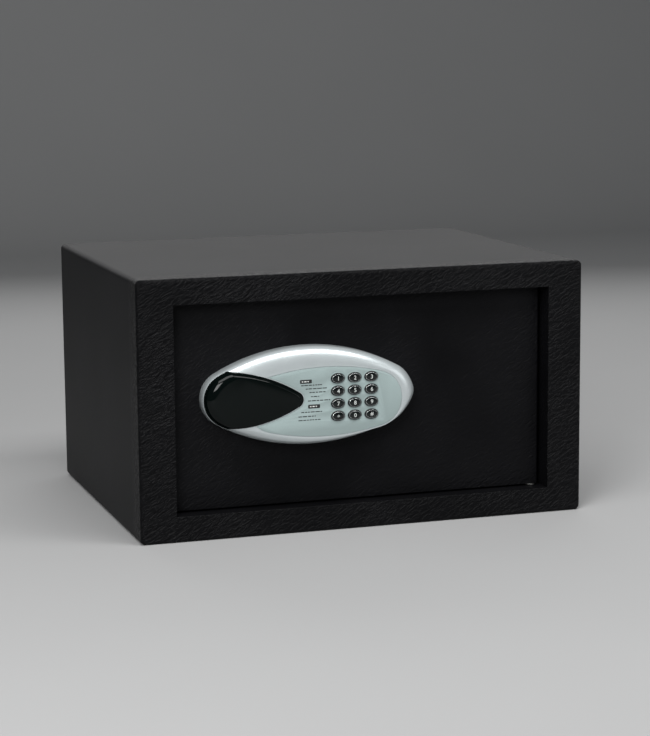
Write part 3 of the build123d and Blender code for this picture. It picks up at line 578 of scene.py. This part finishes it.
def panelForm(name, inset=0.0, back=None):
    back = doorFace if back is None else back
    piece = startDrawing(name)
    levels = list(panelLevels(inset))
    drawOval(panelX, back, panelZ, *panelShape["outer"], inset=inset)
    for y, x, z, sizes, ringInset in levels:
        drawOval(x, y, z, *sizes, inset=ringInset)
    mergeDrawing()
    heights = [back] + [level[0] for level in levels]
    bridgeLevels(piece, heights)
    fillLevel(piece, heights[0])
    fillLevel(piece, heights[-1])
    bpy.ops.mesh.select_all(action="SELECT")
    bpy.ops.mesh.normals_make_consistent(inside=False)
    tipX = panelX + panelShape["outer"][0] / 2 - inset
    selectPoints(piece, lambda co: co.x > tipX - 0.4 * mm and co.y > panelFront + 5 * mm)
    bpy.ops.transform.translate(value=(panelShape["tip"], 0, -panelShape["tip"] / 2),
                                use_proportional_edit=True,
                                proportional_size=panelShape["tipReach"],
                                proportional_edit_falloff="SHARP")
    bpy.ops.object.mode_set(mode="OBJECT")
    return piece


def makeBezel(material):
    shape = panelShape
    far = panelFront - 20 * mm
    seatFront = panelFront + shape["seatDepth"]
    seatBack = seatFront + shape["seatThickness"]
    piece = panelForm("ovalPanel")
    inside = panelForm("inside", shape["wall"], doorFace + mm)
    block = teardropColumn("seatBlock", shape["seatThickness"], panelFront - mm, seatBack)
    cut(inside, block)
    cut(piece, inside)
    cut(piece, teardropColumn("pocket", lensShape["gap"], far, seatFront))
    recess = ovalColumn("recess", panelX + shape["faceRight"], panelZ - shape["faceDrop"],
                        shape["face"], far, panelFront + shape["overlayThickness"],
                        inset=shape["overlayInset"])
    clear = teardropColumn("clear", shape["overlayInset"], far - mm, seatFront)
    cut(recess, clear)
    cut(piece, recess)
    lockLow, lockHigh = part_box("override_lock_body")
    lockX, lockZ = (lockLow.x + lockHigh.x) / 2, (lockLow.z + lockHigh.z) / 2
    cut(piece, ellipseColumn("lockHole", lockX, lockZ, shape["lockHole"], shape["lockHole"],
                             seatFront - mm, seatBack + mm))
    faceLow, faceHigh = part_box("display_module")
    window = ellipseColumn("window", (faceLow.x + faceHigh.x) / 2, panelZ, *shape["window"],
                           seatFront - mm, seatBack + mm, corners=4)
    cut(piece, window)
    for name in keyNames:
        cut(piece, ellipseColumn("hole", *keyPlace(name), *keyHole(), far, panelFront + 5 * mm))
    portLow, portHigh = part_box("service_port")
    portX, portY = (portLow.x + portHigh.x) / 2, (portLow.y + portHigh.y) / 2
    clearSelection()
    bpy.ops.mesh.primitive_cylinder_add(vertices=48, radius=shape["portHole"],
                                        depth=16 * mm,
                                        location=(portX, portY, portLow.z + 5 * mm))
    cut(piece, bpy.context.object)
    softenEdges(piece, shape["edgeRound"], 40, 2)
    finishPiece(piece, "door", ["bezel"], material)
    print("made the oval panel")


def makeOverlay(material):
    shape = panelShape
    back = panelFront + shape["overlayThickness"]
    sheet = ovalColumn("keypadFilm", panelX + shape["faceRight"], panelZ - shape["faceDrop"],
                       shape["face"], panelFront, back,
                       inset=shape["overlayInset"] + shape["filmSeam"])
    cut(sheet, teardropColumn("clear", shape["overlayInset"] + lensShape["gap"],
                              panelFront - mm, back + mm))
    for name in keyNames:
        cut(sheet, ellipseColumn("hole", *keyPlace(name), *keyHole(), panelFront - mm,
                                 back + mm))
    softenEdges(sheet, 0.1 * mm, 40, 2)
    rim = makeKeyRim(back)
    rims = [sheet]
    for name in keyNames:
        copy = rim.copy()
        copy.data = rim.data.copy()
        bpy.context.collection.objects.link(copy)
        x, z = keyPlace(name)
        copy.location = (x, 0, z)
        bake(copy)
        rims.append(copy)
    bpy.data.objects.remove(rim, do_unlink=True)
    sheet = joinPieces(rims, "keypadFilm")
    finishPiece(sheet, "door", ["keypad_overlay"], material)
    print("made the keypad film")


keyShape = {
    "width": 13 * mm,
    "height": 9.2 * mm,
    "crown": 0.55 * mm,
    "round": 1.5 * mm,
    "rimWidth": 0.5 * mm,
    "rimHeight": 0.3 * mm,
    "holeGap": 0.3 * mm,
    "ringInset": 0.8 * mm,
    "ringWidth": 0.26 * mm,
    "ringProud": 0.05 * mm,
    "numeralSize": 5.2 * mm,
    "numeralProud": 0.06 * mm,
    "numeralDepth": 0.12 * mm,
    "flange": 0.8 * mm,
}
keyNames = ["key_" + n for n in ("1", "2", "3", "4", "5", "6", "7", "8", "9", "star", "0", "hash")]


def keyFront():
    # the numeral stands a little proud of the cap, and its face is the key's front
    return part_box("key_5")[0].y + keyShape["numeralProud"]


def keyPlace(name):
    low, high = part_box(name)
    return (low.x + high.x) / 2, (low.z + high.z) / 2


def keyHole():  # width and height
    return tuple(keyShape[side] + 2 * keyShape["holeGap"] for side in ("width", "height"))


def drawEllipse(width, height, x, y, z, corners=72):
    bpy.ops.mesh.select_all(action="DESELECT")
    bpy.ops.mesh.primitive_circle_add(vertices=corners, radius=0.5, location=(x, y, z),
                                      rotation=(math.pi / 2, 0, 0))
    bpy.ops.transform.resize(value=(width, 1, height), center_override=(x, y, z))


def makeKeyRim(back):
    # a low rounded lip round a key hole
    shape = keyShape
    piece = startDrawing("keyRim")
    width, height = keyHole()
    levels = []
    for turn in (0, 30, 60, 90, 120, 150, 180):
        across = (1 - math.cos(math.radians(turn))) * shape["rimWidth"]
        y = panelFront - shape["rimHeight"] * math.sin(math.radians(turn))
        y -= turn * 0.00000001  # keeps the two sides' rings a hair apart
        levels.append((width + across, height + across, y))
    levels.insert(0, (width, height, back - 0.05 * mm))
    levels.append((width + 2 * shape["rimWidth"], height + 2 * shape["rimWidth"], back - 0.04 * mm))
    for across, up, y in levels:
        drawEllipse(across, up, 0, y, 0)
    for (w0, h0, y0), (w1, h1, y1) in zip(levels, levels[1:] + levels[:1]):
        def isOne(co, w, h, y):
            spot = (co.x / w * 2) ** 2 + (co.z / h * 2) ** 2
            return abs(co.y - y) < 0.0005 * mm and abs(spot - 1) < 0.01
        selectPoints(piece, lambda co: isOne(co, w0, h0, y0) or isOne(co, w1, h1, y1))
        bpy.ops.mesh.bridge_edge_loops()
    bpy.ops.mesh.select_all(action="SELECT")
    bpy.ops.mesh.normals_make_consistent(inside=False)
    bpy.ops.object.mode_set(mode="OBJECT")
    smooth(piece, 50)
    return piece


def makeKeyCap():
    # an oval cap with a rounded edge and a crowned face, and a flange behind
    shape = keyShape
    low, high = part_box("key_5")
    front, back = keyFront(), high.y
    flangeFront = back - shape["flange"]
    piece = startDrawing("keyCap")
    rings = [(high.x - low.x, high.z - low.z, back), (high.x - low.x, high.z - low.z, flangeFront),
             (shape["width"], shape["height"], flangeFront - 0.001 * mm)]
    edge = front + shape["round"]
    for turn in (0, 15, 30, 45, 60, 75):
        inset = shape["round"] * (1 - math.cos(math.radians(turn)))
        rings.append((shape["width"] - 2 * inset, shape["height"] - 2 * inset,
                      edge - (shape["round"] - shape["crown"]) * math.sin(math.radians(turn))))
    top = rings[-1]
    for share in (0.85, 0.65, 0.45, 0.25, 0.1):
        rings.append((top[0] * share, top[1] * share,
                      front + (top[2] - front) * share ** 2))
    for width, height, y in rings:
        drawEllipse(width, height, 0, y, 0)
    bridgeLevels(piece, [ring[2] for ring in rings])
    fillLevel(piece, rings[0][2])
    fillLevel(piece, rings[-1][2])
    bpy.ops.mesh.select_all(action="SELECT")
    bpy.ops.mesh.normals_make_consistent(inside=False)
    bpy.ops.object.mode_set(mode="OBJECT")
    smooth(piece, 50)
    return piece


def makeKeyRing():
    # a thin bright ring let into the cap's rounded edge
    shape = keyShape
    front = keyFront()
    outerWidth = shape["width"] - 2 * shape["ringInset"]
    outerHeight = shape["height"] - 2 * shape["ringInset"]
    width = 2 * shape["ringWidth"]
    back = front + 2 * shape["crown"]
    piece = startDrawing("keyRing")
    rings = [(0, back), (0, front + 0.9 * shape["crown"]), (0.3, front + 0.72 * shape["crown"]),
             (0.7, front + 0.66 * shape["crown"]), (1, front + 0.70 * shape["crown"]),
             (1, back + 0.01 * mm)]
    for share, y in rings:
        drawEllipse(outerWidth - share * width, outerHeight - share * width, 0,
                    y - shape["ringProud"], 0)
    levels = [y - shape["ringProud"] for _, y in rings]
    bridgeLevels(piece, levels)
    first, last = sameLevel(levels[0]), sameLevel(levels[-1])
    selectPoints(piece, lambda co: first(co) or last(co))
    bpy.ops.mesh.bridge_edge_loops()
    bpy.ops.mesh.select_all(action="SELECT")
    bpy.ops.mesh.normals_make_consistent(inside=False)
    bpy.ops.object.mode_set(mode="OBJECT")
    smooth(piece, 60)
    return piece


def makeKeys(capMaterial, numeralMaterial, ringMaterial):
    cap = makeKeyCap()
    paint(cap, capMaterial)
    ring = makeKeyRing()
    paint(ring, ringMaterial)
    cap = joinPieces([cap, ring], "keyCap")
    front = keyFront()
    for name in keyNames:
        symbol = {"star": "*", "hash": "#"}.get(name[4:], name[4:])
        key = cap.copy()
        key.data = cap.data.copy()
        bpy.context.collection.objects.link(key)
        x, z = keyPlace(name)
        key.location = (x, 0, z)
        bake(key)
        clearSelection()
        bpy.ops.object.text_add(location=(0, 0, 0))
        numeral = bpy.context.object
        numeral.data.body = symbol
        numeral.data.size = keyShape["numeralSize"]
        numeral.data.align_x = "CENTER"
        numeral.data.align_y = "CENTER"
        numeral.data.extrude = keyShape["numeralDepth"]
        numeral.data.resolution_u = 6
        bpy.ops.object.convert(target="MESH")
        numeral = bpy.context.object
        weld(numeral)
        numeral.rotation_euler = (math.pi / 2, 0, 0)
        bake(numeral)
        across = [v.co.x for v in numeral.data.vertices]
        up = [v.co.z for v in numeral.data.vertices]
        numeral.location = (x - (max(across) + min(across)) / 2,
                            front - keyShape["numeralProud"] + keyShape["numeralDepth"],
                            z - (max(up) + min(up)) / 2)
        bake(numeral)
        paint(numeral, numeralMaterial)
        key = joinPieces([key, numeral], "pressKey_" + name[4:])
        bake(key)
        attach(key, name)
        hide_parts(name)
    bpy.data.objects.remove(cap, do_unlink=True)
    print("made", len(keyNames), "keys")


printedMarks = {  # centre x, centre z and width, from the panel's centre
    "blocks": ((-5.6, 14.1, 11.4), (2.0, -9.1, 11.4)),
    "blockHeight": 3.6 * mm,
    "lines": ((-0.3, 10.6, 19.9), (4.7, 7.3, 21.0), (5.4, 3.9, 15.2), (3.1, 0.0, 7.8),
              (6.8, -3.8, 21.1), (-0.3, -14.1, 19.9), (-4.7, -18.0, 16.6), (-2.5, -21.4, 21.0)),
    "lineHeight": 0.85 * mm,
    "blockBars": (1.4, 2.2, 1.2),  # widths in mm
    "blockBarHeight": 1.0 * mm,
    "ink": 0.03 * mm,
}


def inkBar(x, z, width, height, proud, colour):
    clearSelection()
    bpy.ops.mesh.primitive_plane_add(size=1, location=(panelX + x, panelFront - proud, panelZ + z),
                                     rotation=(math.pi / 2, 0, 0))
    bar = bpy.context.object
    bar.scale = (width, height, 1)
    bake(bar)
    bpy.ops.object.mode_set(mode="EDIT")
    bpy.ops.mesh.select_all(action="SELECT")
    bpy.ops.mesh.bevel(offset=min(width, height) * 0.25, segments=3, affect="VERTICES")
    bpy.ops.mesh.extrude_region_move(
        TRANSFORM_OT_translate={"value": (0, proud + 0.02 * mm, 0)})
    bpy.ops.mesh.select_all(action="SELECT")
    bpy.ops.mesh.normals_make_consistent(inside=False)
    bpy.ops.object.mode_set(mode="OBJECT")
    paint(bar, colour)
    return bar


def makePrintedMarks(dark, light):
    # plain bars stand in for the two labels and the lines of small print
    random.seed(7)
    ink = printedMarks["ink"]
    bars = []
    for x, z, width in printedMarks["blocks"]:
        bars.append(inkBar(x * mm, z * mm, width * mm, printedMarks["blockHeight"], ink, dark))
        start = x - width * 0.34
        for word in printedMarks["blockBars"]:
            bars.append(inkBar((start + word / 2) * mm, z * mm, word * mm,
                               printedMarks["blockBarHeight"], 2 * ink, light))
            start += word + 0.9
    for x, z, width in printedMarks["lines"]:
        start, end = x - width / 2, x + width / 2
        while start < end - 0.8:
            word = min(random.uniform(1.6, 4.6), end - start)
            bars.append(inkBar((start + word / 2) * mm, z * mm, word * mm,
                               printedMarks["lineHeight"], ink, dark))
            start += word + random.uniform(0.5, 0.9)
    marks = joinPieces(bars, "printedMarks")
    bake(marks)
    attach(marks, "door")
    print("made the printed marks")


def facetForm(name, scaleDown, top, grow):
    # the lens's own crown: its outline shrinks in a quarter round up to a flat facet
    piece = teardropColumn(name, grow, top, doorFace - panelShape["side"])
    activate(piece)
    bpy.ops.object.mode_set(mode="EDIT")
    pivot = (panelX + lensShape["pivot"][0], 0, panelZ + lensShape["pivot"][1])
    foot = doorFace - panelShape["side"] - lensShape["bandFoot"]
    rings = lensShape["bandRings"]
    selectPoints(piece, sameLevel(top))
    bpy.ops.mesh.delete(type="ONLY_FACE")
    selectPoints(piece, sameLevel(top))
    bpy.ops.transform.translate(value=(0, foot - top, 0))
    last, lastY = 1.0, foot
    for ring in range(1, rings + 1):
        turn = ring / rings * math.pi / 2
        scale = 1 - (1 - scaleDown) * (1 - math.cos(turn))
        y = foot - (foot - top) * math.sin(turn)
        selectPoints(piece, sameLevel(lastY))
        bpy.ops.mesh.extrude_edges_move(TRANSFORM_OT_translate={"value": (0, y - lastY, 0)})
        bpy.ops.transform.resize(value=(scale / last, 1, scale / last), center_override=pivot)
        last, lastY = scale, y
    fillLevel(piece, top)
    bpy.ops.mesh.select_all(action="SELECT")
    bpy.ops.mesh.normals_make_consistent(inside=False)
    bpy.ops.object.mode_set(mode="OBJECT")
    return piece


def makeLens(material):
    shape = lensShape
    seatFront = panelFront + panelShape["seatDepth"]
    top = panelFront - shape["proud"]
    crown = facetForm("crown", shape["facetScale"], top, 0.0)
    form = panelForm("lensForm", -0.5 * mm)
    column = teardropColumn("displayWindow", 0.0, panelFront - 20 * mm, seatFront)
    cut(column, form, "INTERSECT")
    crownTrim = teardropColumn("crownTrim", 0.0, panelFront - 20 * mm, seatFront - 0.01 * mm)
    cut(crown, crownTrim, "INTERSECT")
    cut(column, crown, "UNION")
    wall = shape["wall"]
    hollow = facetForm("hollow", shape["facetScale"] - 0.02, top + wall, -wall)
    clear = teardropColumn("clear", -wall, panelFront + 3 * mm, seatFront + mm)
    cut(hollow, clear, "UNION")
    cut(column, hollow)
    softenEdges(column, shape["edgeRound"], 30, 3)
    finishPiece(column, "lens", ["display_lens"], material)
    print("made the lens")


stageSizes = {
    "floorHalf": 3.2,
    "floorColour": (0.36, 0.36, 0.36),
    "backdropHeight": 4.0,
    "backdropRadius": 1.0,
}


def makeStage():
    bpy.ops.mesh.primitive_plane_add(size=2 * stageSizes["floorHalf"], location=(0, 0, 0))
    floor = bpy.context.object
    floor.name = "floor"
    material, tree, shader = startMaterial("paleFloor", stageSizes["floorColour"], 0.85)
    cloud = noise(tree, objectPlace(tree), 3.0, 2.0)
    pale = stageSizes["floorColour"]
    tint(tree, shader, cloud, pale, tuple(c * 1.05 for c in pale))
    paint(floor, material)
    activate(floor)
    bpy.ops.object.mode_set(mode="EDIT")
    bpy.ops.mesh.select_all(action="DESELECT")
    bpy.ops.object.mode_set(mode="OBJECT")
    for edge in floor.data.edges:
        ends = [floor.data.vertices[i].co.y for i in edge.vertices]
        edge.select = min(ends) > 1
    bpy.ops.object.mode_set(mode="EDIT")
    bpy.ops.mesh.select_mode(type="EDGE")
    bpy.ops.mesh.extrude_region_move(
        TRANSFORM_OT_translate={"value": (0, 0, stageSizes["backdropHeight"])})
    bpy.ops.object.mode_set(mode="OBJECT")
    curve = floor.modifiers.new("curve", "BEVEL")
    curve.width = stageSizes["backdropRadius"]
    curve.segments = 16
    curve.limit_method = "ANGLE"
    applyAll(floor)
    smooth(floor, 40)


lamps = {
    "topSoftbox": {"place": (-0.02, -0.75, 1.55), "aim": (0, -0.1, 0.1), "size": (2.1, 0.7),
                   "power": 29},
    "keySoftbox": {"place": (-1.15, -1.75, 1.15), "aim": (-0.05, -0.16, 0.12),
                   "size": (0.75, 0.85), "power": 27},
    "fillSoftbox": {"place": (1.7, -1.6, 0.8), "aim": (0, 0, 0.12), "size": (1.2, 1.2),
                    "power": 7},
    "rearSoftbox": {"place": (0.35, 1.35, 0.95), "aim": (0, 0, 0.24), "size": (2.6, 1.1),
                    "power": 10.5},
}


def makeLights():
    for name, lamp in lamps.items():
        data = bpy.data.lights.new(name, "AREA")
        data.shape = "RECTANGLE"
        data.size, data.size_y = lamp["size"]
        data.energy = lamp["power"]
        light = bpy.data.objects.new(name, data)
        bpy.context.collection.objects.link(light)
        light.location = lamp["place"]
        light.visible_camera = False
        aim = Vector(lamp["aim"]) - Vector(lamp["place"])
        light.rotation_euler = aim.to_track_quat("-Z", "Y").to_euler()
    world = bpy.data.worlds.new("paleRoom")
    bpy.context.scene.world = world
    world.use_nodes = True
    background = world.node_tree.nodes["Background"]
    background.inputs["Color"].default_value = (0.82, 0.86, 0.90, 1)
    background.inputs["Strength"].default_value = 0.12


cameraView = {
    "fromFrontFace": (-0.6580, -1.9055, 0.4800),  # from the middle of the cabinet's front edge
    "turn": (80.7023, 0.4678, -18.0455),
    "lens": 108.97,
}


def makeCamera():
    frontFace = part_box("body_shell")[0].y
    data = bpy.data.cameras.new("viewCamera")
    camera = bpy.data.objects.new("viewCamera", data)
    bpy.context.collection.objects.link(camera)
    across, back, up = cameraView["fromFrontFace"]
    camera.location = (across, frontFace + back, up)
    camera.rotation_euler = [math.radians(a) for a in cameraView["turn"]]
    data.lens = cameraView["lens"]
    data.sensor_width = 36
    bpy.context.scene.camera = camera
    view = bpy.context.scene.view_settings
    view.view_transform = "Standard"


finishes = dressNodes()
makeBezel(finishes["silver_case"])
makeOverlay(finishes["silver_overlay"])
makeLens(finishes["smoked_lens"])
inkDark = mouldedPlastic("darkInk", (0.012, 0.013, 0.013), 0.5)
inkLight = mouldedPlastic("lightInk", (0.62, 0.64, 0.62), 0.5)
keyRing = platedSteel("keyRing", (0.75, 0.77, 0.77), 0.20)
makeKeys(finishes["key_black"], inkLight, keyRing)
makePrintedMarks(inkDark, inkLight)
makeStage()
makeLights()
makeCamera()
